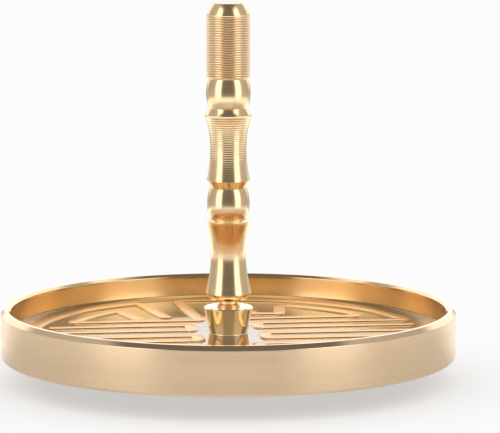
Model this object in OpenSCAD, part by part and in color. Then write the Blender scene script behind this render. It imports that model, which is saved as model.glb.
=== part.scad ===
// Turned brass spinning top: a dished rotor, a baluster grip stem and a ball tip.
// Millimetres, +Z up. The origin is the lowest point of the ball, on the spinning axis.

/* [Rim] */
// Outer radius of the rim ring
rim_r = 30; // [27:0.5:36]
// Height of the rim ring
rim_h = 6.5; // [6:0.1:9]
// Thickness of the lip that stands round the dish
lip_t = 1.3; // [1:0.1:2]
// Width of the ledge that carries the disc
ledge_w = 1.2; // [0.8:0.1:2]
// How far the ball reaches below the rim
tip_reach = 3.2; // [3:0.1:5.4]

/* [Disc] */
// Depth of the dish, from the rim's top edge to the raised lines
dish_depth = 3.5; // [3:0.05:3.6]
// Thickness of the disc under its floor
plate_t = 1.45; // [1:0.05:1.6]
// Height of the raised lines over the floor
relief_h = 0.15; // [0.1:0.05:0.5]
// Width of the raised lines
line_w = 1.6; // [1:0.1:1.6]
// How far the meander is turned about the axis, in degrees
pattern_turn = 7; // [0:1:20]
// Width of the cove that runs up to the wall of the dish
cove_w = 1.25; // [0.8:0.05:1.6]
// Height of the cove
cove_h = 0.42; // [0.2:0.02:0.6]
// Radius of the thick centre under the disc
boss_r = 7; // [5.5:0.5:10]
// How much thicker the disc is there
boss_h = 0.7; // [0.4:0.1:0.8]

/* [Collar] */
// Height of the collar above the floor of the dish
collar_h = 3.75; // [3:0.05:4.5]
// Radius of the collar at its top
collar_top_r = 3.26; // [3:0.02:3.6]
// Radius of the collar just above its foot
collar_foot_r = 2.5; // [2.3:0.02:2.9]
// Radius of the fillet at the collar's foot
collar_fillet = 0.35; // [0.2:0.05:0.5]
// Radius of the spigot that is pressed into the disc
spigot_r = 1.98; // [1.8:0.02:2.2]

/* [Stem] */
// Radius of the plain neck under the stem
neck_r = 1.3; // [1.25:0.05:1.5]
// Radius of the flare at the bottom of the stem
flare_r = 3.06; // [2.8:0.02:3.3]
// Radius of the lower waist
low_waist_r = 2.31; // [2.1:0.01:2.5]
// Radius of the lower bead
low_bead_r = 2.8; // [2.6:0.02:3]
// Radius of the upper waist
high_waist_r = 2.39; // [2.1:0.01:2.5]
// Radius of the upper bead
high_bead_r = 2.93; // [2.7:0.01:3.1]
// Radius of the turned finger grip
grip_r = 2.88; // [2.7:0.02:3.2]
// Length of the turned finger grip
grip_h = 8.1; // [6:0.1:10]
// Radius of the flat on top of the stem
crown_r = 2; // [1.6:0.1:2.3]

/* [Threads and washers] */
// Radius of the threaded shanks
shank_r = 1.2; // [1:0.05:1.2]
// Clearance round a shank in its hole
shank_gap = 0.05; // [0.02:0.01:0.08]
// Length of the stem's shank
stem_shank = 2.93; // [2.5:0.01:3]
// Length of the tip's shank
tip_shank = 2.9; // [2.5:0.05:2.9]
// Thickness of the washer under the stem
lock_t = 0.28; // [0.2:0.02:0.4]
// Outer radius of the washer under the stem
lock_r = 1.55; // [1.5:0.05:1.9]
// Thickness of the washer above the tip carrier
seat_t = 0.3; // [0.2:0.05:0.4]
// Outer radius of the washer above the tip carrier
seat_r = 5.2; // [4.8:0.1:5.4]

/* [Tip] */
// Radius of the steel ball
ball_r = 1.5; // [1.4:0.05:1.6]
// Radius of the carrier's flange
flange_r = 4.6; // [4:0.1:4.7]
// Thickness of the carrier's flange
flange_t = 0.9; // [0.6:0.1:1]
// How far the ball stands out of the carrier
ball_out = 0.75; // [0.6:0.05:0.9]

/* [Hidden] */

$fn = 96;
brass = [0.86, 0.68, 0.44];
gold = [0.84, 0.62, 0.33];
steel = [0.78, 0.79, 0.81];

slip = 0.02;              // gap between parts that are pressed together
chamfer = 0.12;           // broken edge on small parts
arc_steps = 6;            // pieces in a rounded corner or a cove

// Heights of the rotor, from the bottom up
rim_z = tip_reach;
lip_z = rim_z + rim_h;
line_z = lip_z - dish_depth;
floor_z = line_z - relief_h;
plate_z = floor_z - plate_t;
boss_z = plate_z - boss_h;
collar_z = floor_z + collar_h;
wall_r = rim_r - lip_t;
disc_r = wall_r - slip;
bore_r = shank_r + shank_gap;

// Heights of the stem, from its seat up
stem_z = collar_z + lock_t;
shoulder_z = stem_z + 0.75;
flare_z = shoulder_z + 0.67;
low_waist_z = flare_z + 4.7;
low_lip_z = low_waist_z + 4.75;
low_groove_z = low_lip_z + 0.65;
high_groove_z = low_groove_z + 4.05;
high_foot_z = high_groove_z + 0.95;
high_waist_z = high_foot_z + 4;
high_lip_z = high_waist_z + 4.55;
neck_groove_z = high_lip_z + 1.0;
grip_groove_z = neck_groove_z + 3.95;
grip_z = grip_groove_z + 0.1;
crown_z = grip_z + grip_h;
top_z = crown_z + 1.7;

// Heights of the tip, from the top down
seat_z = boss_z - seat_t;
flange_z = seat_z - flange_t;
nose_z = ball_out;

// ---- Outline helpers -------------------------------------------------------

// Unit vector along v
function unit(v) = v / norm(v);

// Points on a circle about the origin, from angle a to angle b
function arc(r, a, b, steps) =
    [for (i = [0:steps]) let (t = a + (b - a) * i / steps) [r * cos(t), r * sin(t), 0]];

// Points that round the corner p, between its neighbours a and b, to radius r
function corner(a, p, b, r) =
    let (
        u = unit(a - p),
        v = unit(b - p),
        half = acos(u * v) / 2,
        reach = r / tan(half),
        centre = p + unit(u + v) * r / sin(half),
        from = p + u * reach - centre,
        to = p + v * reach - centre,
        start = atan2(from.y, from.x),
        turn = (atan2(to.y, to.x) - start + 540) % 360 - 180
    )
    [for (i = [0:arc_steps])
        let (t = start + turn * i / arc_steps) centre + r * [cos(t), sin(t)]];

// Vertex where the tangent to that circle at angle a meets height y, to be rounded to r
function leave(circle_r, a, y, r) =
    let (s = (y - circle_r * sin(a)) / cos(a)) [circle_r * cos(a) - s * sin(a), y, r];

// The plan point of a path's vertex [x, y, corner radius]
function plan(v) = [v.x, v.y];

// A path with its corners rounded
function rounded(path) =
    [for (i = [0:len(path) - 1])
        each i == 0 || i == len(path) - 1 || path[i].z == 0
            ? [plan(path[i])]
            : corner(plan(path[i - 1]), plan(path[i]), plan(path[i + 1]), path[i].z)];

// Direction of a path at its point i
function heading(p, i) =
    unit((i == 0 ? [0, 0] : unit(p[i] - p[i - 1]))
         + (i == len(p) - 1 ? [0, 0] : unit(p[i + 1] - p[i])));

// Half circle round the end p of a line that runs along d
function cap(p, d) =
    let (start = atan2(d.y, d.x) + 90)
    [for (i = [1:arc_steps - 1])
        let (t = start - 180 * i / arc_steps) p + line_w / 2 * [cos(t), sin(t)]];

// Outline of a line of width line_w along a path, with round ends
function outline(p) =
    let (
        last = len(p) - 1,
        sides = [for (i = [0:last]) let (d = heading(p, i)) line_w / 2 * [-d.y, d.x]]
    )
    concat(
        [for (i = [0:last]) p[i] + sides[i]],
        cap(p[last], heading(p, last)),
        [for (i = [last:-1:0]) p[i] - sides[i]],
        cap(p[0], -heading(p, 0))
    );

// One side of a waist: radius grows from waist_r to lip_r as a power of the distance
function waist(waist_r, waist_z, lip_r, lip_z, power, steps = 10) =
    [for (i = [0:steps])
        let (t = i / steps)
        [waist_r + (lip_r - waist_r) * pow(t, power), waist_z + (lip_z - waist_z) * t]];

// The upper end of a bead or waist outline comes first, so it is turned round
function reversed(points) = [for (i = [len(points) - 1:-1:0]) points[i]];

// A barrel bead from z0 to z1: radius end_r at both ends and mid_r between them
function bead(end_r, mid_r, z0, z1, steps = 10) =
    [for (i = [0:steps])
        let (t = i / steps, s = 2 * t - 1)
        [mid_r - (mid_r - end_r) * s * s, z0 + (z1 - z0) * t]];

// ---- Meander on the disc ---------------------------------------------------
// Three lines, each given by its vertices [x, y, corner radius]. Half a turn
// repeats them, so the whole pattern is the same from either side.

turn_r = 0.9;             // centre-line radius of a line's tight corners
hook_r = 1.4;             // radius where the hook line turns back
outer_arc_r = 26;
leaf_arc_r = 25.7;
inner_arc_r = 22.2;
bar_pitch = 3.8;
bar_y = [for (i = [0:5]) -9.4 + i * bar_pitch];
hub_x = 4.5;              // where the bars turn back, clear of the collar

shore_line = concat(
    [[-7, 12.4, 0], [-9.5, 24.25, turn_r]],
    arc(outer_arc_r, 115, 173, 16),
    [leave(outer_arc_r, 173, bar_y[3] - 0.4, turn_r), [-hub_x, bar_y[3] - 0.4, turn_r],
     [-hub_x, bar_y[4] - 0.2, turn_r], [-22.6, bar_y[4] - 0.2, 0]]
);

leaf_line = concat(
    [[-10.8, 11.2, 0], [-12.9, 18.3, turn_r]],
    arc(inner_arc_r, 131, 148, 6),
    [leave(inner_arc_r, 148, 9.4, turn_r), [-2.6, 9.4, turn_r], [-4.1, 25.4, turn_r]],
    arc(leaf_arc_r, 97, 22, 20),
    [leave(leaf_arc_r, 22, 6.4, turn_r), [hub_x, 6.4, turn_r], [hub_x, 2.7, turn_r], [24.7, 2.7, 0]]
);

hook_line = concat(
    [[3.1, 21.4, 0], [5.3, 14, turn_r], [8.6, 13.4, turn_r], [9.6, 20, turn_r]],
    arc(inner_arc_r, 59, 36, 6),
    [leave(inner_arc_r, 36, 10.1, hook_r), [hub_x, 10.1, 0]]
);

// ---- Rotor -----------------------------------------------------------------

// Ring with a standing lip above and a ledge for the disc below
module rim_ring() {
    top_bevel = 0.45;
    foot_bevel = 0.3;
    lip_bevel = 0.35;
    ledge_r = wall_r - ledge_w;
    color(brass)
    rotate_extrude($fn = 180)
    polygon([
        [ledge_r + chamfer, rim_z], [rim_r - foot_bevel, rim_z], [rim_r, rim_z + foot_bevel],
        [rim_r, lip_z - 0.6], [rim_r - top_bevel, lip_z], [wall_r + lip_bevel, lip_z],
        [wall_r, lip_z - lip_bevel], [wall_r, plate_z], [ledge_r, plate_z], [ledge_r, rim_z + chamfer]
    ]);
}

// Disc with the meander standing on its floor and a cove round its edge
module engraved_disc() {
    sunk = 0.2;           // how deep the lines are rooted in the plate
    cove_r = disc_r - cove_w;
    color(gold)
    union() {
        rotate_extrude($fn = 180)
        polygon(concat(
            [[spigot_r + slip, boss_z], [boss_r - boss_h, boss_z], [boss_r, plate_z],
             [disc_r, plate_z], [disc_r, floor_z + cove_h]],
            [for (i = [1:arc_steps]) let (t = 1 - i / arc_steps)
                [cove_r + cove_w * t, floor_z + cove_h * t * t]],
            [[spigot_r + slip, floor_z]]
        ));
        for (half_turn = [0, 180], line = [shore_line, leaf_line, hook_line])
            rotate([0, 0, pattern_turn + half_turn])
            translate([0, 0, floor_z - sunk])
            linear_extrude(relief_h + sunk)
            polygon(outline(rounded(line)));
    }
}

// Inverted, tapered cup that is pressed into the disc and threaded right through
module hub_collar() {
    spigot_z = boss_z + 0.2;
    edge = 0.15;
    color(brass)
    rotate_extrude()
    polygon(concat(
        [[bore_r, spigot_z], [spigot_r, spigot_z], [spigot_r, floor_z]],
        [for (i = [0:arc_steps]) let (t = 90 * i / arc_steps)
            [collar_foot_r + collar_fillet * (1 - sin(t)), floor_z + collar_fillet * (1 - cos(t))]],
        [[collar_top_r, collar_z - edge], [collar_top_r - edge, collar_z], [bore_r, collar_z]]
    ));
}

// ---- Stem ------------------------------------------------------------------

// Thin washer between the collar and the stem
module lock_washer() {
    color(gold)
    translate([0, 0, collar_z])
    difference() {
        cylinder(h = lock_t, r = lock_r);
        translate([0, 0, -1]) cylinder(h = lock_t + 2, r = bore_r);
    }
}

// Grip stem: shank, neck, two waists, two beads and the ringed finger grip
module grip_stem() {
    groove_r = 2.34;
    low_lip_r = 2.88;
    high_foot_r = 2.86;
    high_lip_r = 2.98;
    crown_bow = 0.08;
    color(brass)
    rotate_extrude()
    polygon(concat(
        [[0, stem_z - stem_shank], [shank_r - chamfer, stem_z - stem_shank],
         [shank_r, stem_z - stem_shank + chamfer], [shank_r, stem_z], [neck_r, stem_z],
         [neck_r, shoulder_z], [flare_r - 0.66, shoulder_z]],
        reversed(waist(low_waist_r, low_waist_z, flare_r, flare_z, 1.5)),
        waist(low_waist_r, low_waist_z, low_lip_r, low_lip_z, 2),
        [[low_lip_r + 0.04, low_lip_z + 0.27], [groove_r + 0.06, low_groove_z - 0.05]],
        bead(groove_r + 0.12, low_bead_r, low_groove_z, high_groove_z - 0.1),
        [[groove_r, high_groove_z]],
        reversed(waist(high_waist_r, high_waist_z, high_foot_r, high_foot_z, 2)),
        waist(high_waist_r, high_waist_z, high_lip_r, high_lip_z, 2.3),
        [[high_lip_r, high_lip_z + 0.15], [groove_r + 0.16, neck_groove_z]],
        bead(groove_r + 0.26, high_bead_r, neck_groove_z + 0.1, grip_groove_z - 0.1),
        [[groove_r + 0.2, grip_groove_z], [grip_r, grip_z], [grip_r, crown_z]],
        [for (i = [1:arc_steps]) let (t = i / arc_steps)
            [grip_r + (crown_r - grip_r) * t + crown_bow * 4 * t * (1 - t),
             crown_z + (top_z - crown_z) * t]],
        [[0, top_z]]
    ));
}

// ---- Tip -------------------------------------------------------------------

// Washer between the disc and the tip carrier
module seat_washer() {
    color(gold)
    translate([0, 0, seat_z])
    difference() {
        cylinder(h = seat_t, r = seat_r);
        translate([0, 0, -1]) cylinder(h = seat_t + 2, r = bore_r);
    }
}

// Threaded carrier with a flange, a cone and a drilled socket for the ball
module tip_carrier() {
    socket_r = ball_r + slip;
    socket_z = 2 * ball_r + slip;
    nose_r = ball_r + 0.3;
    root_r = 3.3;
    shank_top_z = seat_z + tip_shank;
    color(brass)
    rotate_extrude()
    polygon([
        [socket_r, nose_z], [nose_r, nose_z], [root_r, flange_z], [flange_r - chamfer, flange_z],
        [flange_r, flange_z + chamfer], [flange_r, seat_z - chamfer], [flange_r - chamfer, seat_z],
        [shank_r, seat_z], [shank_r, shank_top_z - chamfer], [shank_r - chamfer, shank_top_z],
        [0, shank_top_z], [0, socket_z], [socket_r, socket_z]
    ]);
}

// Hardened ball that the top spins on
module tip_ball() {
    color(steel)
    translate([0, 0, ball_r])
    sphere(r = ball_r);
}

rim_ring();
engraved_disc();
hub_collar();
lock_washer();
grip_stem();
seat_washer();
tip_carrier();
tip_ball();
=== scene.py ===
"""Turned brass spinning top: its finished meshes, finishes, camera and light.

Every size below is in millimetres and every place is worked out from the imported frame, whose
origin is the lowest point of the ball, on the spinning axis, with +Z up.
"""
import logging
import math
from dataclasses import dataclass
from enum import Enum
from typing import Optional, Sequence, Union

import bmesh
import bpy
from mathutils import Matrix, Vector


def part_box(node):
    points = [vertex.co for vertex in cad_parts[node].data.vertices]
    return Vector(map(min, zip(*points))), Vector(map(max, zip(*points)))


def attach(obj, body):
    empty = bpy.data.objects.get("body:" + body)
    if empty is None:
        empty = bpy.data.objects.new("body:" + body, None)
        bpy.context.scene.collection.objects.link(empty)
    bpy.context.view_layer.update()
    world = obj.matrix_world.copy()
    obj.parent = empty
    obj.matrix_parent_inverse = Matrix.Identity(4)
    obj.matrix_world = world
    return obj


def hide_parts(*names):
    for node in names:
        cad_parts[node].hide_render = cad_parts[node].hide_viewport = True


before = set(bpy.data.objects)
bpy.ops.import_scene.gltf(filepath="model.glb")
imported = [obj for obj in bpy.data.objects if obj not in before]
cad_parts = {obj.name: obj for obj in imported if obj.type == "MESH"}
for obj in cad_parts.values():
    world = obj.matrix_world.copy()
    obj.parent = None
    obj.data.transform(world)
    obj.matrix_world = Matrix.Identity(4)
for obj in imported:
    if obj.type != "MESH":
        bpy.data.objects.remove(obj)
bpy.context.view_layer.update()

LOG = logging.getLogger("spinning_top")
MM = 0.001
WELD = 2e-7  # metres within which points are merged

Point = tuple[float, float]
Corner = tuple[float, float, float]


# ---- Outlines ----------------------------------------------------------------------------


def arc(radius: float, start: float, end: float, steps: int) -> list[Corner]:
    """Points on a circle about the origin.

    Args:
        radius: radius of the circle, in millimetres.
        start: first angle, in degrees.
        end: last angle, in degrees.
        steps: number of pieces.

    Returns:
        The points, each with a corner radius of 0.
    """
    turns = [math.radians(start + (end - start) * i / steps) for i in range(steps + 1)]
    return [(radius * math.cos(t), radius * math.sin(t), 0.0) for t in turns]


def leave(radius: float, angle: float, height: float, rounding: float) -> Corner:
    """The corner where the tangent to a circle at an angle meets a height.

    Args:
        radius: radius of the circle, in millimetres.
        angle: where the tangent touches, in degrees.
        height: the y at which the corner lies, in millimetres.
        rounding: radius to which the corner is rounded, in millimetres.

    Returns:
        The corner.
    """
    cos, sin = math.cos(math.radians(angle)), math.sin(math.radians(angle))
    run = (height - radius * sin) / cos
    return (radius * cos - run * sin, height, rounding)


def rounded(corners: Sequence[Corner], closed: bool = False, steps: int = 6) -> list[Point]:
    """A path with each corner turned into an arc of its own radius.

    Args:
        corners: (x, y, corner radius) along the path; a radius of 0 keeps the point.
        closed: True for an outline whose last point joins its first.
        steps: pieces in each arc.

    Returns:
        The points of the rounded path.
    """
    made: list[Point] = []
    last = len(corners) - 1
    for i, (x, y, radius) in enumerate(corners):
        here = Vector((x, y))
        if radius == 0 or (not closed and i in (0, last)):
            made.append((x, y))
            continue
        back = (Vector(corners[i - 1][:2]) - here).normalized()
        ahead = (Vector(corners[(i + 1) % (last + 1)][:2]) - here).normalized()
        half = back.angle(ahead) / 2
        centre = here + (back + ahead).normalized() * radius / math.sin(half)
        first = here + back * radius / math.tan(half) - centre
        end = here + ahead * radius / math.tan(half) - centre
        start = math.atan2(first.y, first.x)
        turn = (math.atan2(end.y, end.x) - start + 3 * math.pi) % (2 * math.pi) - math.pi
        for k in range(steps + 1):
            angle = start + turn * k / steps
            made.append((centre.x + radius * math.cos(angle), centre.y + radius * math.sin(angle)))
    return made


def waist(thin: Point, wide: Point, power: float, steps: int = 24) -> list[Corner]:
    """One side of a waist, whose radius grows as a power of the distance from its middle.

    Args:
        thin: (radius, height) at the waist's middle.
        wide: (radius, height) at its lip.
        power: how late the waist flares.
        steps: number of pieces.

    Returns:
        The points from the middle to the lip.
    """
    shares = [i / steps for i in range(steps + 1)]
    return [(thin[0] + (wide[0] - thin[0]) * t**power, thin[1] + (wide[1] - thin[1]) * t, 0.0)
            for t in shares]


def bead(end_r: float, middle_r: float, low: float, high: float, steps: int = 24) -> list[Corner]:
    """A barrel bead.

    Args:
        end_r: radius at both ends.
        middle_r: radius half-way up.
        low: height of its lower end.
        high: height of its upper end.
        steps: number of pieces.

    Returns:
        The points from the lower end to the upper end.
    """
    shares = [i / steps for i in range(steps + 1)]
    return [(middle_r - (middle_r - end_r) * (2 * t - 1) ** 2, low + (high - low) * t, 0.0)
            for t in shares]


# ---- Meshes ------------------------------------------------------------------------------


def smooth_by_area(mesh: bpy.types.Mesh) -> None:
    """Shades a mesh smooth, with broad faces counting for more than the slivers on its edges."""
    sums = [Vector() for _ in mesh.vertices]
    for face in mesh.polygons:
        face.use_smooth = True
        for index in face.vertices:
            sums[index] += face.normal * face.area
    mesh.normals_split_custom_set_from_vertices([tuple(s.normalized()) for s in sums])


def finished(name: str, build: bmesh.types.BMesh) -> bpy.types.Object:
    """Turns a bmesh in millimetres into an object in metres, welded and facing outwards.

    Args:
        name: name of the piece.
        build: the mesh, which is freed.

    Returns:
        The object, linked into the scene.
    """
    bmesh.ops.remove_doubles(build, verts=build.verts[:], dist=WELD / MM)
    bmesh.ops.recalc_face_normals(build, faces=build.faces[:])
    bmesh.ops.scale(build, vec=(MM, MM, MM), verts=build.verts[:])
    mesh = bpy.data.meshes.new(name)
    build.to_mesh(mesh)
    build.free()
    smooth_by_area(mesh)
    piece = bpy.data.objects.new(name, mesh)
    bpy.context.scene.collection.objects.link(piece)
    return piece


def turned(name: str, outline: Sequence[Point], sides: int, closed: bool) -> bpy.types.Object:
    """Turns an outline about the axis, as on a lathe.

    Args:
        name: name of the piece.
        outline: (radius, height) points; an open outline starts and ends on the axis.
        sides: number of steps round the axis.
        closed: True where the outline is a ring that never meets the axis.

    Returns:
        The turned piece.
    """
    build = bmesh.new()
    rings = []
    for radius, height in outline:
        if radius < 1e-6:
            rings.append([build.verts.new((0, 0, height))] * sides)
            continue
        angles = [2 * math.pi * k / sides for k in range(sides)]
        rings.append([build.verts.new((radius * math.cos(a), radius * math.sin(a), height))
                      for a in angles])
    pairs = list(zip(rings, rings[1:])) + ([(rings[-1], rings[0])] if closed else [])
    for low, high in pairs:
        for k in range(sides):
            n = (k + 1) % sides
            quad = list(dict.fromkeys((low[k], low[n], high[n], high[k])))
            if len(quad) > 2:
                build.faces.new(quad)
    return finished(name, build)


@dataclass(frozen=True)
class Place:
    """Where a CAD node lies: its radius about the axis, its lowest and highest points."""

    radius: float
    low: float
    high: float

    @classmethod
    def of(cls, node: str) -> "Place":
        """Reads a node's box from the frame, in millimetres."""
        low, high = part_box(node)
        return cls(high.x / MM, low.z / MM, high.z / MM)


# ---- Geometry Nodes ----------------------------------------------------------------------

SOCKET_KINDS = {float: "NodeSocketFloat", int: "NodeSocketInt"}
Size = Union[float, int, bpy.types.Object]


class Recipe:
    """A Geometry Nodes tree under construction, with a named input for each size."""

    def __init__(self, name: str, sizes: dict[str, Size]) -> None:
        """Starts a tree.

        Args:
            name: name of the tree and of the piece that it grows.
            sizes: name and value of each input.
        """
        self.name = name
        self.sizes = sizes
        self.tree = bpy.data.node_groups.new(name, "GeometryNodeTree")
        self.tree.interface.new_socket(
            "Geometry", in_out="OUTPUT", socket_type="NodeSocketGeometry")
        for key, value in sizes.items():
            kind = SOCKET_KINDS.get(type(value), "NodeSocketObject")
            self.tree.interface.new_socket(key, in_out="INPUT", socket_type=kind)
        self.tree.interface.new_socket("Finish", in_out="INPUT", socket_type="NodeSocketMaterial")
        self.entry = self.tree.nodes.new("NodeGroupInput")

    def size(self, name: str) -> bpy.types.NodeSocket:
        """The socket of a named input."""
        return self.entry.outputs[name]

    def node(self, kind: str, settings: Optional[dict] = None, inputs: Optional[dict] = None,
             output: Union[int, str] = 0) -> bpy.types.NodeSocket:
        """Adds a node.

        Args:
            kind: the node's type.
            settings: properties, set first.
            inputs: value or link of each socket, by name or number.
            output: which of its outputs to return.

        Returns:
            The output socket.
        """
        made = self.tree.nodes.new(kind)
        for key, value in (settings or {}).items():
            setattr(made, key, value)
        for key, value in (inputs or {}).items():
            for link in value if isinstance(value, list) else [value]:
                if isinstance(link, bpy.types.NodeSocket):
                    self.tree.links.new(link, made.inputs[key])
                else:
                    made.inputs[key].default_value = link
        return made.outputs[output]

    def grow(self, shape: bpy.types.NodeSocket, finish: bpy.types.Material) -> bpy.types.Object:
        """Ends the tree, runs it once and keeps the result as a plain mesh.

        Args:
            shape: the geometry that the tree makes.
            finish: material that it sets.

        Returns:
            The finished piece, with no modifier left on it.
        """
        real = self.node("GeometryNodeRealizeInstances", inputs={"Geometry": shape})
        dressed = self.node("GeometryNodeSetMaterial",
                            inputs={"Geometry": real, "Material": self.size("Finish")})
        way_out = self.tree.nodes.new("NodeGroupOutput")
        self.tree.links.new(dressed, way_out.inputs["Geometry"])
        host = bpy.data.objects.new(self.name, bpy.data.meshes.new(self.name))
        bpy.context.scene.collection.objects.link(host)
        modifier = host.modifiers.new(self.name, "NODES")
        modifier.node_group = self.tree
        values = {**self.sizes, "Finish": finish}
        for item in self.tree.interface.items_tree:
            if item.in_out == "INPUT":
                modifier[item.identifier] = values[item.name]
        evaluated = host.evaluated_get(bpy.context.evaluated_depsgraph_get())
        mesh = bpy.data.meshes.new_from_object(evaluated)
        host.modifiers.remove(modifier)
        build = bmesh.new()
        build.from_mesh(mesh)
        bmesh.ops.remove_doubles(build, verts=build.verts[:], dist=WELD)
        bmesh.ops.recalc_face_normals(build, faces=build.faces[:])
        build.to_mesh(mesh)
        build.free()
        smooth_by_area(mesh)
        mesh.name = self.name
        host.data = mesh
        return host


# ---- Materials ---------------------------------------------------------------------------

Value = Union["Field", float]
Shade = Union["Field", tuple[float, float, float, float]]


class Field:
    """A value that varies over a surface: one node socket, with arithmetic."""

    def __init__(self, sheet: "Sheet", socket: bpy.types.NodeSocket) -> None:
        """Wraps a socket of a sheet's tree."""
        self.sheet = sheet
        self.socket = socket

    def maths(self, operation: str, *values: Value) -> "Field":
        """Adds one Math node with this field as its first value."""
        inputs = dict(enumerate((self, *values)))
        return self.sheet.node("ShaderNodeMath", {"operation": operation}, inputs)

    def __add__(self, other: Value) -> "Field":
        """Sum."""
        return self.maths("ADD", other)

    def __sub__(self, other: Value) -> "Field":
        """Difference."""
        return self.maths("SUBTRACT", other)

    def __rsub__(self, other: float) -> "Field":
        """Reflected difference."""
        return self.sheet.node("ShaderNodeMath", {"operation": "SUBTRACT"}, {0: other, 1: self})

    def __mul__(self, other: Value) -> "Field":
        """Product."""
        return self.maths("MULTIPLY", other)

    def __truediv__(self, other: Value) -> "Field":
        """Quotient."""
        return self.maths("DIVIDE", other)

    def __pow__(self, other: Value) -> "Field":
        """Power."""
        return self.maths("POWER", other)

    __radd__ = __add__
    __rmul__ = __mul__

    def ramp(self, low: float, high: float, start: float = 0.0, end: float = 1.0) -> "Field":
        """Goes smoothly from start to end as this field goes from low to high."""
        return self.sheet.node("ShaderNodeMapRange", {"interpolation_type": "SMOOTHSTEP"},
                               {"Value": self, "From Min": low, "From Max": high,
                                "To Min": start, "To Max": end})


class Sheet:
    """A node tree under construction, for a material or the world."""

    def __init__(self, owner: Union[bpy.types.Material, bpy.types.World]) -> None:
        """Empties the owner's tree."""
        owner.use_nodes = True
        self.owner = owner
        self.tree = owner.node_tree
        self.tree.nodes.clear()

    def node(self, kind: str, settings: Optional[dict] = None, inputs: Optional[dict] = None,
             output: Union[int, str] = 0) -> Field:
        """Adds a node.

        Args:
            kind: the node's type.
            settings: properties, set first; "stops" are a ramp's (place, value) pairs.
            inputs: value or field of each socket, by name or number.
            output: which of its outputs to return.

        Returns:
            The output as a field.
        """
        made = self.tree.nodes.new(kind)
        for key, value in (settings or {}).items():
            if key == "stops":
                while len(made.color_ramp.elements) < len(value):
                    made.color_ramp.elements.new(1.0)
                for element, (place, grey) in zip(made.color_ramp.elements, value):
                    element.position = place
                    element.color = (grey, grey, grey, 1.0)
            else:
                setattr(made, key, value)
        for key, value in (inputs or {}).items():
            if isinstance(value, Field):
                self.tree.links.new(value.socket, made.inputs[key])
            else:
                made.inputs[key].default_value = value
        return Field(self, made.outputs[output])

    def surface(self, kind: str, shader: Field) -> None:
        """Links a shader to a new output node of the kind that its owner needs."""
        way_out = self.tree.nodes.new(kind)
        self.tree.links.new(shader.socket, way_out.inputs["Surface"])

    def split(self, vector: Field) -> tuple[Field, Field, Field]:
        """The x, y and z of a vector."""
        parts = self.node("ShaderNodeSeparateXYZ", inputs={"Vector": vector})
        outputs = parts.socket.node.outputs
        return Field(self, outputs[0]), Field(self, outputs[1]), Field(self, outputs[2])

    def noise(self, x: Value, y: Value, z: Value, w: Value, detail: float = 2.0) -> Field:
        """Four-dimensional noise from 0 to 1 at a place that is given by four values."""
        place = self.node("ShaderNodeCombineXYZ", inputs={"X": x, "Y": y, "Z": z})
        return self.node("ShaderNodeTexNoise", {"noise_dimensions": "4D"},
                         {"Vector": place, "W": w, "Scale": 1.0, "Detail": detail})

    def blend(self, share: Value, first: Shade, second: Shade) -> Field:
        """Mixes two colours."""
        return self.node("ShaderNodeMix", {"data_type": "RGBA"},
                         {"Factor": share, 6: first, 7: second}, output=2)


@dataclass(frozen=True)
class MetalFinish:
    """How a turned metal surface is finished.

    Attributes:
        name: name of the material.
        base: colour of the clean metal, linear.
        tarnish: colour of the metal where handling and oil have dulled it, linear.
        gloss: roughness of the clean metal.
        uneven: how much the roughness varies.
        marks: depth of the turning marks, in micrometres.
        mark_pitch: spacing of the turning marks, in millimetres.
        mottle: how strongly the tarnish shows.
        mottle_size: size of the tarnished patches, in millimetres.
        bright_edges: how much worn edges lose their tarnish.
        lacquer: strength of the clear coat over the metal.
    """

    name: str
    base: tuple[float, float, float] = (0.90, 0.67, 0.43)
    tarnish: tuple[float, float, float] = (0.74, 0.49, 0.27)
    gloss: float = 0.25
    uneven: float = 0.06
    marks: float = 2.0
    mark_pitch: float = 0.12
    mottle: float = 0.4
    mottle_size: float = 5.0
    bright_edges: float = 0.5
    lacquer: float = 0.0

    def zones(self, colour: "Field", gloss: "Field", radius: "Field",
              height: "Field") -> tuple["Field", "Field"]:
        """Changes the colour and the roughness by place; a plain finish changes neither."""
        return colour, gloss

    def material(self) -> bpy.types.Material:
        """Builds the material."""
        sheet = Sheet(bpy.data.materials.new(self.name))
        place = sheet.node("ShaderNodeTexCoord", output="Object")
        x, y, z = sheet.split(place)
        radius = (x * x + y * y + 1e-12) ** 0.5
        across, along = x / radius, y / radius
        per_mark = 1 / (self.mark_pitch * MM)
        fine = sheet.noise(radius * per_mark, z * per_mark, across * 0.7, along * 0.7, 1.0)
        band = sheet.noise(radius * per_mark / 7, z * per_mark / 7, across * 0.4, along * 0.4, 2.0)
        per_patch = 1 / (self.mottle_size * MM)
        patch = sheet.noise(x * per_patch, y * per_patch, z * per_patch, 3.0, 4.0)
        cloud = sheet.noise(x * per_patch * 6, y * per_patch * 6, z * per_patch * 6, 9.0, 3.0)
        edge = sheet.node("ShaderNodeNewGeometry", output="Pointiness").ramp(0.52, 0.62)
        dull = (patch * 0.7 + cloud * 0.3).ramp(0.42, 0.68) * self.mottle
        dull = dull * (1 - edge * self.bright_edges)
        colour = sheet.blend(dull, (*self.base, 1), (*self.tarnish, 1))
        gloss = self.gloss + (band - 0.5) * self.uneven * 2 + dull * self.uneven - edge * 0.05
        colour, gloss = self.zones(colour, gloss, radius, z)
        height = fine * 0.6 + band * 0.4
        bump = sheet.node("ShaderNodeBump", inputs={
            "Height": height, "Strength": 1.0, "Distance": self.marks * 1e-6})
        metal = sheet.node("ShaderNodeBsdfPrincipled", inputs={
            "Base Color": colour, "Metallic": 1.0, "Roughness": gloss, "Normal": bump,
            "Coat Weight": cloud.ramp(0.35, 0.60, 0.35, 1.0) * self.lacquer,
            "Coat Roughness": 0.04})
        sheet.surface("ShaderNodeOutputMaterial", metal)
        return sheet.owner


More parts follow.
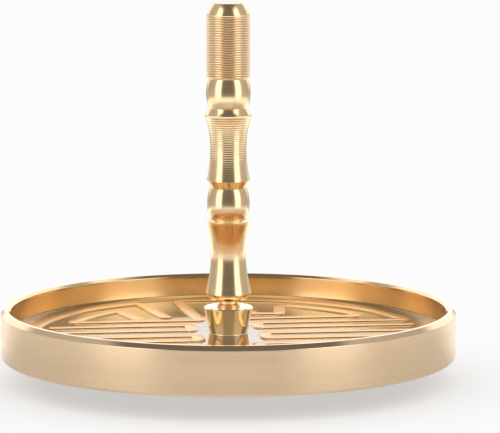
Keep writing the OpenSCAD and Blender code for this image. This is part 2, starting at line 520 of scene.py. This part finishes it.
@dataclass(frozen=True)
class RimFinish(MetalFinish):
    """The rim's finish: satin outside, polished bevels, and a deeper gold inside the dish.

    Attributes:
        bevel_drop: height of the polished band at the top edge, in millimetres.
        lip: thickness of the lip, in millimetres.
        inside: colour of the wall of the dish, linear.
        inside_gloss: roughness of the wall of the dish.
        bevel_gloss: roughness of the polished band.
    """

    bevel_drop: float = 0.6
    lip: float = 1.3
    inside: tuple[float, float, float] = (0.88, 0.60, 0.29)
    inside_gloss: float = 0.22
    bevel_gloss: float = 0.09

    def zones(self, colour: "Field", gloss: "Field", radius: "Field",
              height: "Field") -> tuple["Field", "Field"]:
        """Polishes the top edge and deepens the gold inside."""
        place = Place.of("rim_ring")
        edge = height.ramp((place.high - self.bevel_drop - 0.05) * MM,
                           (place.high - self.bevel_drop + 0.03) * MM)
        wall = place.radius - self.lip
        inner = radius.ramp((wall + 0.03) * MM, (wall + 0.15) * MM, 1.0, 0.0)
        colour = colour.sheet.blend(inner, colour, (*self.inside, 1))
        gloss = gloss * (1 - inner) + inner * self.inside_gloss
        return colour, gloss * (1 - edge) + edge * self.bevel_gloss


class Finish(Enum):
    """The finishes of this top, each named for where it is used."""

    RIM = RimFinish("satin_rim_brass", gloss=0.27, marks=1.2, mottle=0.18, mottle_size=9.0)
    FLOOR = MetalFinish("dark_dish_brass", base=(0.33, 0.25, 0.15), tarnish=(0.26, 0.18, 0.10),
                        gloss=0.10, uneven=0.03, marks=0.5, mottle=0.45, mottle_size=4.0,
                        lacquer=0.35)
    LINES = MetalFinish("satin_line_brass", base=(0.90, 0.55, 0.25), tarnish=(0.79, 0.45, 0.19),
                        gloss=0.30, marks=0.6, mottle=0.30, mottle_size=3.0)
    # The collar's paler base colour is partly painted reflection: it brightens the collar to stand
    # in for the whiter light that its polished top mirrors.
    COLLAR = MetalFinish("polished_collar_brass_with_painted_reflection", base=(0.96, 0.78, 0.52),
                         tarnish=(0.84, 0.58, 0.33), gloss=0.12, marks=1.5, mottle=0.30)
    WASHER = MetalFinish("washer_brass", gloss=0.28, marks=1.0)
    STEM = MetalFinish("turned_stem_brass", base=(0.90, 0.67, 0.39), gloss=0.17, uneven=0.09,
                       marks=2.2, mark_pitch=0.16, mottle=0.40, mottle_size=2.0)
    # The grip's darker base colour is partly painted shade: it stands in for the shadow in the
    # grooves between its rings.
    GRIP = MetalFinish("ringed_grip_brass_with_painted_groove_shade", base=(0.84, 0.63, 0.39), gloss=0.28, marks=1.0,
                       mark_pitch=0.10, mottle=0.25, mottle_size=2.0)
    THREAD = MetalFinish("cut_thread_brass", gloss=0.32, marks=0.8, mottle=0.5, mottle_size=1.5)
    TIP = MetalFinish("tip_brass", base=(0.90, 0.66, 0.36), gloss=0.24, marks=1.6)
    BALL = MetalFinish("bearing_steel", base=(0.62, 0.63, 0.65), tarnish=(0.50, 0.50, 0.52),
                       gloss=0.07, uneven=0.02, marks=0.2, mottle=0.2, mottle_size=1.0)


class Shop:
    """Makes each material once and fastens finished pieces to the frame."""

    def __init__(self) -> None:
        """Starts with no materials."""
        self.made: dict[Finish, bpy.types.Material] = {}

    def material(self, finish: Finish) -> bpy.types.Material:
        """The material of a finish."""
        if finish not in self.made:
            self.made[finish] = finish.value.material()
        return self.made[finish]

    def fasten(self, piece: bpy.types.Object, finish: Finish, body: str, node: str,
               slot: str) -> None:
        """Dresses a piece and ties it to the frame.

        Args:
            piece: the finished piece.
            finish: how its surface is finished.
            body: the body that it moves with.
            node: the CAD node that it stands for.
            slot: the record's material slot; not used.
        """
        piece.data.materials.clear()
        piece.data.materials.append(self.material(finish))
        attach(piece, body)
        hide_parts(node)
        LOG.info("%s: %d faces on %s", piece.name, len(piece.data.polygons), body)


# ---- Rotor -------------------------------------------------------------------------------


@dataclass
class Rim:
    """The ring with a standing lip above and a ledge for the disc below."""

    shop: Shop
    lip: float = 1.3
    ledge: float = 1.2
    top_bevel: float = 0.45
    bevel_drop: float = 0.6
    inner_bevel: float = 0.35
    foot_bevel: float = 0.3
    soft: float = 0.1
    ledge_depth: float = 1.4
    sides: int = 256

    def build(self) -> None:
        """Turns the ring and fastens it."""
        place = Place.of("rim_ring")
        outer, wall = place.radius, place.radius - self.lip
        inner = wall - self.ledge
        seat = place.low + self.ledge_depth
        corners = [
            (inner, place.low, self.soft), (outer - self.foot_bevel, place.low, self.soft),
            (outer, place.low + self.foot_bevel, self.soft),
            (outer, place.high - self.bevel_drop, self.soft),
            (outer - self.top_bevel, place.high, self.soft / 2),
            (wall + self.inner_bevel, place.high, self.soft / 2),
            (wall, place.high - self.inner_bevel, self.soft), (wall, seat, 0.0),
            (inner, seat, self.soft / 2),
        ]
        piece = turned("rim_ring_turned", rounded(corners, closed=True), self.sides, closed=True)
        self.shop.fasten(piece, Finish.RIM, "rotor", "rim_ring", "rim_brass")


@dataclass
class Dish:
    """The disc in the rim: a glossy floor with a cove, and the raised lines on it."""

    shop: Shop
    relief: float = 0.15
    rooted: float = 0.15
    line: float = 1.6
    line_edge: float = 0.05
    plate: float = 1.45
    cove_width: float = 1.25
    cove_height: float = 0.42
    cove_steps: int = 12
    boss: float = 7.0
    boss_bevel: float = 0.7
    bore: float = 2.0
    soft: float = 0.12
    sides: int = 256
    pattern_turn: float = 7.0
    turn_r: float = 0.9
    hook_r: float = 1.4
    outer_arc: float = 26.0
    leaf_arc: float = 25.7
    inner_arc: float = 22.2
    hub_x: float = 4.5

    def __post_init__(self) -> None:
        """Reads the disc's place."""
        self.place = Place.of("engraved_disc")
        self.floor = self.place.high - self.relief

    def build_plate(self) -> None:
        """Turns the plate with its cove and boss, and fastens it."""
        rim = self.place.radius
        under = self.floor - self.plate
        cove_start = rim - self.cove_width
        cove = [(cove_start + self.cove_width * t, self.floor + self.cove_height * t * t, 0.0)
                for t in [1 - i / self.cove_steps for i in range(self.cove_steps + 1)]]
        corners = [
            (self.bore, self.place.low, 0.0),
            (self.boss - self.boss_bevel, self.place.low, self.soft),
            (self.boss, under, self.soft), (rim, under, self.soft),
            *cove, (self.bore, self.floor, 0.0),
        ]
        piece = turned("dish_plate", rounded(corners, closed=True), self.sides, closed=True)
        self.shop.fasten(piece, Finish.FLOOR, "rotor", "engraved_disc", "disc_brass")

    def paths(self) -> list[list[Corner]]:
        """The three lines of the meander, before half a turn repeats them."""
        shore = [(-7.0, 12.4, 0.0), (-9.5, 24.25, self.turn_r),
                 *arc(self.outer_arc, 115, 173, 32),
                 leave(self.outer_arc, 173, 1.6, self.turn_r), (-self.hub_x, 1.6, self.turn_r),
                 (-self.hub_x, 5.6, self.turn_r), (-22.6, 5.6, 0.0)]
        leaf = [(-10.8, 11.2, 0.0), (-12.9, 18.3, self.turn_r),
                *arc(self.inner_arc, 131, 148, 10),
                leave(self.inner_arc, 148, 9.4, self.turn_r), (-2.6, 9.4, self.turn_r),
                (-4.1, 25.4, self.turn_r), *arc(self.leaf_arc, 97, 22, 40),
                leave(self.leaf_arc, 22, 6.4, self.turn_r), (self.hub_x, 6.4, self.turn_r),
                (self.hub_x, 2.7, self.turn_r), (24.7, 2.7, 0.0)]
        hook = [(3.1, 21.4, 0.0), (5.3, 14.0, self.turn_r), (8.6, 13.4, self.turn_r),
                (9.6, 20.0, self.turn_r), *arc(self.inner_arc, 59, 36, 12),
                leave(self.inner_arc, 36, 10.1, self.hook_r), (self.hub_x, 10.1, 0.0)]
        return [shore, leaf, hook]

    def section(self) -> list[Point]:
        """Half of a line's cross-section, from its bottom centre to its top centre."""
        half_height = (self.relief + self.rooted) / 2
        half_width = self.line / 2
        return rounded([(0.0, -half_height, 0.0), (half_width, -half_height, 0.0),
                        (half_width, half_height, self.line_edge), (0.0, half_height, 0.0)])

    @staticmethod
    def rail(name: str, lines: Sequence[Sequence[Point]], height: float, loop: bool,
             flat: bool) -> bpy.types.Object:
        """A curve object made of straight pieces.

        Args:
            name: name of the object.
            lines: the points of each spline, in millimetres.
            height: height of the splines, in millimetres.
            loop: True where each spline is a ring.
            flat: True where the points lie in the plane of the floor.

        Returns:
            The curve, which only feeds a tree and is removed after it.
        """
        curve = bpy.data.curves.new(name, "CURVE")
        curve.dimensions = "3D"
        for line in lines:
            spline = curve.splines.new("POLY")
            spline.points.add(len(line) - 1)
            spline.use_cyclic_u = loop
            for point, (x, y) in zip(spline.points, line):
                point.co = (x * MM, y * MM, height * MM if flat else 0.0, 1.0)
        return bpy.data.objects.new(name, curve)

    def cap(self) -> bpy.types.Object:
        """Half a round button, open where it meets the line's end."""
        build = bmesh.new()
        steps = 12
        columns = []
        for k in range(steps + 1):
            angle = -math.pi / 2 + math.pi * k / steps
            columns.append([build.verts.new((r * math.cos(angle) * MM, r * math.sin(angle) * MM,
                                             z * MM)) for r, z in self.section()])
        for first, second in zip(columns, columns[1:]):
            for a, b in zip(range(len(first)), range(1, len(first))):
                build.faces.new((first[a], second[a], second[b], first[b]))
        bmesh.ops.remove_doubles(build, verts=build.verts[:], dist=WELD)
        mesh = bpy.data.meshes.new("line_cap")
        build.to_mesh(mesh)
        build.free()
        return bpy.data.objects.new("line_cap", mesh)

    def build_lines(self) -> None:
        """Sweeps the raised lines along their paths and fastens them."""
        middle = self.place.high - (self.relief + self.rooted) / 2
        right = self.section()
        ring = right + [(-x, z) for x, z in reversed(right[1:-1])]
        plans = [rounded(path, steps=12) for path in self.paths()]
        plan = self.rail("line_paths", plans, middle, loop=False, flat=True)
        across = self.rail("line_section", [ring], 0.0, loop=True, flat=False)
        cap = self.cap()
        recipe = Recipe("meander_lines", {
            "Paths": plan, "Section": across, "Cap": cap,
            "Turn": math.radians(self.pattern_turn), "Repeat": math.pi})

        def read(name: str) -> bpy.types.NodeSocket:
            """The geometry of an object that is one of the tree's inputs."""
            return recipe.node("GeometryNodeObjectInfo", inputs={"Object": recipe.size(name)},
                               output="Geometry")

        def spun(shape: bpy.types.NodeSocket, angle: bpy.types.NodeSocket) -> bpy.types.NodeSocket:
            """A shape turned about the axis."""
            turn = recipe.node("ShaderNodeCombineXYZ", inputs={"Z": angle})
            return recipe.node("GeometryNodeTransform",
                               inputs={"Geometry": shape, "Rotation": turn})

        path = recipe.node("GeometryNodeSetCurveNormal", {"mode": "Z_UP"}, {"Curve": read("Paths")})
        strip = recipe.node("GeometryNodeCurveToMesh",
                            inputs={"Curve": path, "Profile Curve": read("Section")})
        ahead = recipe.node("GeometryNodeInputTangent")
        behind = recipe.node("ShaderNodeVectorMath", {"operation": "SCALE"},
                             {0: ahead, "Scale": -1.0})
        shapes = [strip]
        for way, start, end in ((behind, 1, 0), (ahead, 0, 1)):
            chosen = recipe.node("GeometryNodeCurveEndpointSelection",
                                 inputs={"Start Size": start, "End Size": end})
            facing = recipe.node("FunctionNodeAlignRotationToVector",
                                 {"axis": "X", "pivot_axis": "Z"}, {"Vector": way})
            shapes.append(recipe.node("GeometryNodeInstanceOnPoints", inputs={
                "Points": path, "Selection": chosen, "Instance": read("Cap"),
                "Rotation": facing}))
        one = spun(recipe.node("GeometryNodeJoinGeometry", inputs={"Geometry": shapes}),
                   recipe.size("Turn"))
        both = recipe.node("GeometryNodeJoinGeometry",
                           inputs={"Geometry": [one, spun(one, recipe.size("Repeat"))]})
        piece = recipe.grow(both, self.shop.material(Finish.LINES))
        for helper in (plan, across, cap):
            bpy.data.objects.remove(helper)
        self.shop.fasten(piece, Finish.LINES, "rotor", "engraved_disc", "disc_brass")

    def build(self) -> None:
        """Makes the plate and the lines."""
        self.build_plate()
        self.build_lines()


# ---- Threads -----------------------------------------------------------------------------


@dataclass
class Threads:
    """The right-hand threads in the collar, on the stem and on the tip carrier."""

    shop: Shop
    pitch: float = 0.45
    depth_r: float = 0.26
    outer_crest: float = 1.23
    inner_crest: float = 1.02
    root: float = 0.98
    wall: float = 1.27
    steps: int = 36

    def helix(self, name: str, low: float, high: float, inward: bool, finish: Finish,
              body: str, node: str, slot: str) -> None:
        """Sweeps one thread and fastens it.

        Args:
            name: name of the piece.
            low: lowest height that the thread may reach.
            high: highest height that the thread may reach.
            inward: True for the thread in the hole, whose crest points at the axis.
            finish: how it is finished.
            body: the body that it moves with.
            node: the CAD node that it stands for.
            slot: the record's material slot.
        """
        half = self.depth_r
        phase = 0.0 if inward else self.pitch / 2
        first = math.ceil((low + half - phase) / self.pitch) * self.pitch + phase
        turns = math.floor((high - half - first) / self.pitch)
        middle = self.inner_crest + half if inward else self.outer_crest - half
        recipe = Recipe(name, {
            "Turns": float(turns), "Middle Radius": middle * MM, "Height": turns * self.pitch * MM,
            "Start Height": first * MM, "Section Radius": half * MM,
            "Crest Angle": math.pi if inward else 0.0, "Steps": self.steps})
        spiral = recipe.node("GeometryNodeCurveSpiral", inputs={
            "Resolution": recipe.size("Steps"), "Rotations": recipe.size("Turns"),
            "Start Radius": recipe.size("Middle Radius"),
            "End Radius": recipe.size("Middle Radius"),
            "Height": recipe.size("Height"), "Reverse": False})
        lift = recipe.node("ShaderNodeCombineXYZ", inputs={"Z": recipe.size("Start Height")})
        raised = recipe.node("GeometryNodeTransform",
                             inputs={"Geometry": spiral, "Translation": lift})
        path = recipe.node("GeometryNodeSetCurveNormal", {"mode": "Z_UP"}, {"Curve": raised})
        tooth = recipe.node("GeometryNodeCurvePrimitiveCircle",
                            inputs={"Resolution": 3, "Radius": recipe.size("Section Radius")})
        turn = recipe.node("ShaderNodeCombineXYZ", inputs={"Z": recipe.size("Crest Angle")})
        aimed = recipe.node("GeometryNodeTransform", inputs={"Geometry": tooth, "Rotation": turn})
        swept = recipe.node("GeometryNodeCurveToMesh", inputs={
            "Curve": path, "Profile Curve": aimed, "Fill Caps": True})
        piece = recipe.grow(swept, self.shop.material(finish))
        self.shop.fasten(piece, finish, body, node, slot)


# ---- Collar, stem and washers ------------------------------------------------------------


@dataclass
class Collar:
    """The inverted, tapered cup that carries the stem."""

    shop: Shop
    threads: Threads
    height: float = 3.75
    foot_r: float = 2.5
    fillet: float = 0.35
    edge: float = 0.15
    spigot_r: float = 1.98
    mouth: float = 0.1
    sides: int = 160

    def build(self) -> None:
        """Turns the collar, cuts its thread and fastens both."""
        place = Place.of("hub_collar")
        floor = place.high - self.height
        wall = self.threads.wall
        foot = [(self.foot_r + self.fillet * (1 - math.sin(t)),
                 floor + self.fillet * (1 - math.cos(t)), 0.0)
                for t in [math.pi / 2 * i / 12 for i in range(13)]]
        corners = [
            (wall, place.low, 0.0), (self.spigot_r, place.low, 0.0), (self.spigot_r, floor, 0.0),
            *foot, (place.radius, place.high - self.edge, 0.04),
            (place.radius - self.edge, place.high, 0.04), (wall + self.mouth, place.high, 0.03),
            (wall, place.high - self.mouth, 0.03),
        ]
        piece = turned("hub_collar_turned", rounded(corners, closed=True), self.sides, closed=True)
        self.shop.fasten(piece, Finish.COLLAR, "rotor", "hub_collar", "collar_brass")
        self.threads.helix("collar_thread", place.low, place.high, True, Finish.THREAD,
                           "rotor", "hub_collar", "collar_brass")


@dataclass
class Washer:
    """A thin flat washer with broken edges."""

    shop: Shop
    node: str
    body: str
    bore: float = 1.25
    soft: float = 0.05
    sides: int = 96

    def build(self) -> None:
        """Turns the washer and fastens it."""
        place = Place.of(self.node)
        corners = [(self.bore, place.low, self.soft), (place.radius, place.low, self.soft),
                   (place.radius, place.high, self.soft), (self.bore, place.high, self.soft)]
        outline = rounded(corners, closed=True)
        piece = turned(self.node + "_turned", outline, self.sides, closed=True)
        self.shop.fasten(piece, Finish.WASHER, self.body, self.node, "washer_brass")


@dataclass
class Stem:
    """The grip stem: threaded shank, neck, two waists, two beads and the ringed grip."""

    shop: Shop
    threads: Threads
    shank: float = 2.93
    neck_r: float = 1.3
    neck: float = 0.75
    flare_r: float = 3.06
    flare: float = 0.67
    flare_step: float = 0.66
    low_waist_r: float = 2.31
    low_lip_r: float = 2.88
    groove_r: float = 2.34
    low_bead_r: float = 2.8
    high_foot_r: float = 2.86
    high_waist_r: float = 2.39
    high_bead_r: float = 2.93
    grip_r: float = 2.88
    core_r: float = 2.76
    grip_length: float = 8.1
    crown_r: float = 2.0
    crown: float = 1.7
    crown_bow: float = 0.08
    ring_r: float = 0.165
    rings: int = 26
    ripple_pitch: float = 0.3
    ripple_depth: float = 0.02
    soft: float = 0.06
    sides: int = 128

    def __post_init__(self) -> None:
        """Works out the heights from the stem's place."""
        self.place = Place.of("grip_stem")
        self.seat = self.place.low + self.shank
        self.shoulder = self.seat + self.neck
        self.flare_z = self.shoulder + self.flare
        self.crown_z = self.place.high - self.crown
        self.grip_z = self.crown_z - self.grip_length

    def rippled(self, points: Sequence[Corner]) -> list[Corner]:
        """Turning rings cut into a stretch of the outline."""
        made = []
        per_ring = 6
        step = self.ripple_pitch / per_ring
        count = int((points[-1][1] - points[0][1]) / step)
        for i in range(count + 1):
            height = points[0][1] + (points[-1][1] - points[0][1]) * i / count
            below = max(k for k, p in enumerate(points[:-1]) if p[1] <= height + 1e-9)
            low, high = points[below], points[below + 1]
            share = (height - low[1]) / (high[1] - low[1])
            radius = low[0] + (high[0] - low[0]) * share
            cut = self.ripple_depth * (0.5 - 0.5 * math.cos(2 * math.pi * i / per_ring))
            made.append((radius - cut, height, 0.0))
        return made

    def outline(self) -> list[Point]:
        """The stem's outline, from the axis at the bottom to the axis at the top."""
        low_waist = self.flare_z + 4.7
        low_lip = low_waist + 4.75
        low_groove = low_lip + 0.65
        high_groove = low_groove + 4.05
        high_foot = high_groove + 0.95
        high_waist = high_foot + 4.0
        high_lip = high_waist + 4.55
        neck_groove = high_lip + 1.0
        grip_groove = neck_groove + 3.95
        high_lip_r = self.place.radius
        thin = (self.high_waist_r, high_waist)
        upper = [*reversed(waist(thin, (self.high_foot_r, high_foot), 2)),
                 *waist(thin, (high_lip_r, high_lip), 2.3)[1:]]
        crown = [(self.grip_r + (self.crown_r - self.grip_r) * t + self.crown_bow * 4 * t * (1 - t),
                  self.crown_z + self.crown * t, 0.0) for t in [i / 16 for i in range(1, 17)]]
        return rounded([
            (0.0, self.place.low, 0.0), (self.threads.root - 0.12, self.place.low, 0.0),
            (self.threads.root, self.place.low + 0.12, 0.0), (self.threads.root, self.seat, 0.0),
            (self.neck_r, self.seat, 0.0), (self.neck_r, self.shoulder, 0.1),
            (self.flare_r - self.flare_step, self.shoulder, self.soft),
            *reversed(waist((self.low_waist_r, low_waist), (self.flare_r, self.flare_z), 1.5)),
            *waist((self.low_waist_r, low_waist), (self.low_lip_r, low_lip), 2)[1:],
            (self.low_lip_r + 0.04, low_lip + 0.27, self.soft),
            (self.groove_r + 0.06, low_groove - 0.05, 0.0),
            *bead(self.groove_r + 0.12, self.low_bead_r, low_groove, high_groove - 0.1),
            (self.groove_r, high_groove, 0.0),
            *self.rippled(upper),
            (high_lip_r, high_lip + 0.15, self.soft), (self.groove_r + 0.16, neck_groove, 0.0),
            *bead(self.groove_r + 0.26, self.high_bead_r, neck_groove + 0.1, grip_groove - 0.1),
            (self.groove_r + 0.2, grip_groove, 0.0), (self.core_r, self.grip_z, 0.0),
            (self.core_r, self.crown_z, 0.0), *crown, (0.0, self.place.high, 0.0),
        ])

    def build_rings(self) -> None:
        """Rings the grip and fastens the rings."""
        pitch = self.grip_length / self.rings
        recipe = Recipe("grip_rings", {
            "Count": self.rings, "Pitch": pitch * MM, "Lowest": (self.grip_z + pitch / 2) * MM,
            "Ring Radius": (self.grip_r - self.ring_r) * MM, "Section Radius": self.ring_r * MM,
            "Sides": 96})
        start = recipe.node("ShaderNodeCombineXYZ", inputs={"Z": recipe.size("Lowest")})
        step = recipe.node("ShaderNodeCombineXYZ", inputs={"Z": recipe.size("Pitch")})
        places = recipe.node("GeometryNodeMeshLine", inputs={
            "Count": recipe.size("Count"), "Start Location": start, "Offset": step})
        rail = recipe.node("GeometryNodeCurvePrimitiveCircle", inputs={
            "Resolution": recipe.size("Sides"), "Radius": recipe.size("Ring Radius")})
        section = recipe.node("GeometryNodeCurvePrimitiveCircle", inputs={
            "Resolution": 12, "Radius": recipe.size("Section Radius")})
        ring = recipe.node("GeometryNodeCurveToMesh",
                           inputs={"Curve": rail, "Profile Curve": section})
        rings = recipe.node("GeometryNodeInstanceOnPoints",
                            inputs={"Points": places, "Instance": ring})
        piece = recipe.grow(rings, self.shop.material(Finish.GRIP))
        self.shop.fasten(piece, Finish.GRIP, "stem", "grip_stem", "stem_brass")

    def build(self) -> None:
        """Makes the stem, its rings and its thread."""
        piece = turned("stem_turned", self.outline(), self.sides, closed=False)
        self.shop.fasten(piece, Finish.STEM, "stem", "grip_stem", "stem_brass")
        self.build_rings()
        self.threads.helix("stem_thread", self.place.low, self.seat - 0.2, False, Finish.THREAD,
                           "stem", "grip_stem", "stem_brass")


@dataclass
class Tip:
    """The screwed carrier under the disc and the ball that it holds."""

    shop: Shop
    threads: Threads
    shank: float = 2.9
    flange: float = 0.9
    edge: float = 0.12
    ball_out: float = 0.75
    nose: float = 0.3
    root_r: float = 3.3
    slip: float = 0.02
    soft: float = 0.05
    sides: int = 96

    def build(self) -> None:
        """Turns the carrier and the ball, cuts the thread and fastens them."""
        ball = Place.of("tip_ball")
        place = Place.of("tip_carrier")
        seat = place.high - self.shank
        under = seat - self.flange
        socket_r = ball.radius + self.slip
        socket_top = ball.high + self.slip
        root = self.threads.root
        outline = rounded([
            (0.0, socket_top, 0.0), (socket_r, socket_top, 0.0),
            (socket_r, self.ball_out, 0.03), (ball.radius + self.nose, self.ball_out, self.soft),
            (self.root_r, under, 0.15), (place.radius - self.edge, under, self.soft),
            (place.radius, under + self.edge, self.soft),
            (place.radius, seat - self.edge, self.soft),
            (place.radius - self.edge, seat, self.soft), (root, seat, 0.0),
            (root, place.high - self.edge, 0.0), (root - self.edge, place.high, 0.0),
            (0.0, place.high, 0.0),
        ])
        carrier = turned("tip_carrier_turned", outline, self.sides, closed=False)
        self.shop.fasten(carrier, Finish.TIP, "tip", "tip_carrier", "tip_brass")
        self.threads.helix("carrier_thread", seat, place.high, False, Finish.THREAD,
                           "tip", "tip_carrier", "tip_brass")
        steps = 48
        angles = [math.pi * i / steps - math.pi / 2 for i in range(steps + 1)]
        sphere = [(ball.radius * math.cos(a) if 0 < i < steps else 0.0,
                   ball.radius + ball.radius * math.sin(a)) for i, a in enumerate(angles)]
        piece = turned("tip_ball_ground", sphere, self.sides, closed=False)
        self.shop.fasten(piece, Finish.BALL, "tip", "tip_ball", "ball_steel")


# ---- Studio ------------------------------------------------------------------------------


@dataclass
class Studio:
    """The camera, the pale floor and the soft light."""

    distance: float = 483.2
    elevation: float = 10.16
    aim_right: float = 0.340
    aim_up: float = 2.181
    lens: float = 262.6
    sensor: float = 36.0
    floor_r: float = 3000.0
    floor_drop: float = 0.02
    glow_r: float = 105.0
    glow_drop: float = 0.5

    def build_camera(self) -> None:
        """Sets up the camera."""
        foot = Vector((0.0, 0.0, Place.of("rim_ring").low))
        tilt = math.radians(self.elevation)
        ahead = Vector((0.0, math.cos(tilt), -math.sin(tilt)))
        up = Vector((0.0, math.sin(tilt), math.cos(tilt)))
        aim = (ahead + Vector((1.0, 0.0, 0.0)) * math.tan(math.radians(self.aim_right))
               + up * math.tan(math.radians(self.aim_up)))
        data = bpy.data.cameras.new("studio_camera")
        data.lens = self.lens
        data.sensor_width = self.sensor
        data.clip_start, data.clip_end = 0.01, 20.0
        camera = bpy.data.objects.new("studio_camera", data)
        camera.location = (foot - ahead * self.distance) * MM
        camera.rotation_euler = aim.to_track_quat("-Z", "Y").to_euler()
        bpy.context.scene.collection.objects.link(camera)
        bpy.context.scene.camera = camera

    @staticmethod
    def disc(name: str, radius: float, height: float) -> bpy.types.Object:
        """A flat round sheet for the stage, sizes in millimetres."""
        build = bmesh.new()
        bmesh.ops.create_circle(build, cap_ends=True, segments=96, radius=radius * MM)
        mesh = bpy.data.meshes.new(name)
        build.to_mesh(mesh)
        build.free()
        mesh.transform(Matrix.Translation((0.0, 0.0, height * MM)))
        sheet = bpy.data.objects.new(name, mesh)
        bpy.context.scene.collection.objects.link(sheet)
        return sheet

    @staticmethod
    def way_round(x: Field, y: Field) -> tuple[Field, Field]:
        """How far a place or a direction lies from the axis, and how far round it lies.

        Args:
            x: how far it lies to the right.
            y: how far it lies to the back.

        Returns:
            Its distance from the axis, and its share of the way round: 0 at the front, 1 at the
            back.
        """
        out = (x * x + y * y + 1e-9) ** 0.5
        return out, (1.0 + y / out) * 0.5

    def build_floor(self) -> None:
        """Lays the pale floor, which the metal doesn't mirror."""
        floor = self.disc("studio_floor", self.floor_r, -self.floor_drop)
        floor.visible_glossy = False
        sheet = Sheet(bpy.data.materials.new("pale_floor"))
        matt = sheet.node("ShaderNodeBsdfDiffuse", inputs={"Color": (0.95, 0.95, 0.95, 1)})
        shine = sheet.node("ShaderNodeEmission",
                           inputs={"Color": (1.0, 1.0, 1.0, 1), "Strength": 1.0})
        pale = sheet.node("ShaderNodeMixShader", inputs={0: 0.5, 1: matt, 2: shine})
        sheet.surface("ShaderNodeOutputMaterial", pale)
        floor.data.materials.append(sheet.owner)

    def build_glow(self) -> None:
        """Lays the glow under the floor, which only the metal mirrors."""
        glow = self.disc("floor_glow", self.glow_r, -self.glow_drop)
        glow.visible_camera = glow.visible_diffuse = glow.visible_shadow = False
        sheet = Sheet(bpy.data.materials.new("floor_glow"))
        x, y, _ = sheet.split(sheet.node("ShaderNodeTexCoord", output="Object"))
        out, back = self.way_round(x, y)
        strength = (back.ramp(0.0, 0.12, 0.75, 0.64) + back.ramp(0.6, 0.8, 0.0, 0.55)
                    + out.ramp(0.074, 0.092, 0.0, 0.75))
        light = sheet.node("ShaderNodeEmission", inputs={
            "Color": (1.0, 1.0, 1.0, 1), "Strength": strength})
        sheet.surface("ShaderNodeOutputMaterial", light)
        glow.data.materials.append(sheet.owner)

    @staticmethod
    def panels(sheet: Sheet, y: Field, z: Field, back: Field, again: Field) -> Field:
        """The panels round the top, as its metal mirrors them.

        Args:
            sheet: the world's tree.
            y: how far a direction points to the back.
            z: how far it points up.
            back: its share of the way round.
            again: 1 where the metal is itself mirrored in other metal, else 0.

        Returns:
            The brightness in each direction.
        """
        walls = sheet.node("ShaderNodeValToRGB", {"stops": [
            (0.0, 0.12), (0.085, 0.13), (0.12, 0.98), (0.30, 1.0), (0.37, 0.36),
            (0.78, 0.32), (1.0, 0.34)]}, {"Fac": back})
        walls = sheet.node("ShaderNodeRGBToBW", inputs={"Color": walls}) * 1.6
        walls = walls + back.ramp(0.79, 0.86) * z.ramp(-0.08, 0.12, 0.0, 0.8)
        side = back.ramp(0.10, 0.13) - back.ramp(0.28, 0.36)
        walls = walls + side * (0.4 - again * 0.4)
        low = z.ramp(-0.14, 0.04, 0.14, 0.0)
        below = z.ramp(-0.27, -0.16, 1.0, 0.0)
        walls = (walls * (1 - low) + low * 0.9) * (1 - below) + below * 1.45
        ceiling = y.ramp(0.0, 0.2, 0.17, 1.2)
        overhead = z.ramp(0.74, 0.79)
        return walls * (1 - overhead) + ceiling * overhead

    @staticmethod
    def room(z: Field, back: Field) -> Field:
        """The more even room that metal mirrors where it is itself mirrored in other metal.

        Args:
            z: how far a direction points up.
            back: its share of the way round.

        Returns:
            The brightness in each direction.
        """
        return (back.ramp(0.05, 0.12, 0.95, 1.7) - back.ramp(0.45, 0.56, 0.0, 1.15)
                + back.ramp(0.78, 0.86, 0.0, 0.7) + z.ramp(0.84, 0.94, 0.0, 1.1))

    def build_world(self) -> None:
        """Surrounds the top with white, and with soft panels that only the metal mirrors."""
        world = bpy.data.worlds.new("studio")
        bpy.context.scene.world = world
        sheet = Sheet(world)
        x, y, z = sheet.split(sheet.node("ShaderNodeTexCoord", output="Generated"))
        _, back = self.way_round(x, y)
        again = sheet.node("ShaderNodeLightPath", output="Glossy Depth").ramp(1.2, 1.8)
        steep = again * z.ramp(0.22, 0.34)
        seen = self.panels(sheet, y, z, back, again) * (1 - steep) + self.room(z, back) * steep
        glossy = sheet.node("ShaderNodeLightPath", output="Is Glossy Ray")
        light = sheet.node("ShaderNodeBackground", inputs={
            "Color": (1.0, 1.0, 1.0, 1), "Strength": seen * glossy + (1 - glossy)})
        sheet.surface("ShaderNodeOutputWorld", light)

    def build(self) -> None:
        """Sets up the whole studio."""
        bpy.context.scene.view_settings.view_transform = "Standard"
        self.build_camera()
        self.build_floor()
        self.build_glow()
        self.build_world()


def main() -> None:
    """Builds the top and its studio."""
    logging.basicConfig(level=logging.INFO, format="%(name)s: %(message)s")
    shop = Shop()
    threads = Threads(shop)
    parts = [
        Studio(), Rim(shop), Dish(shop), Collar(shop, threads),
        Washer(shop, "lock_washer", "stem_washer"), Stem(shop, threads),
        Washer(shop, "seat_washer", "tip_washer"), Tip(shop, threads),
    ]
    for part in parts:
        part.build()


if __name__ == "__main__":
    main()
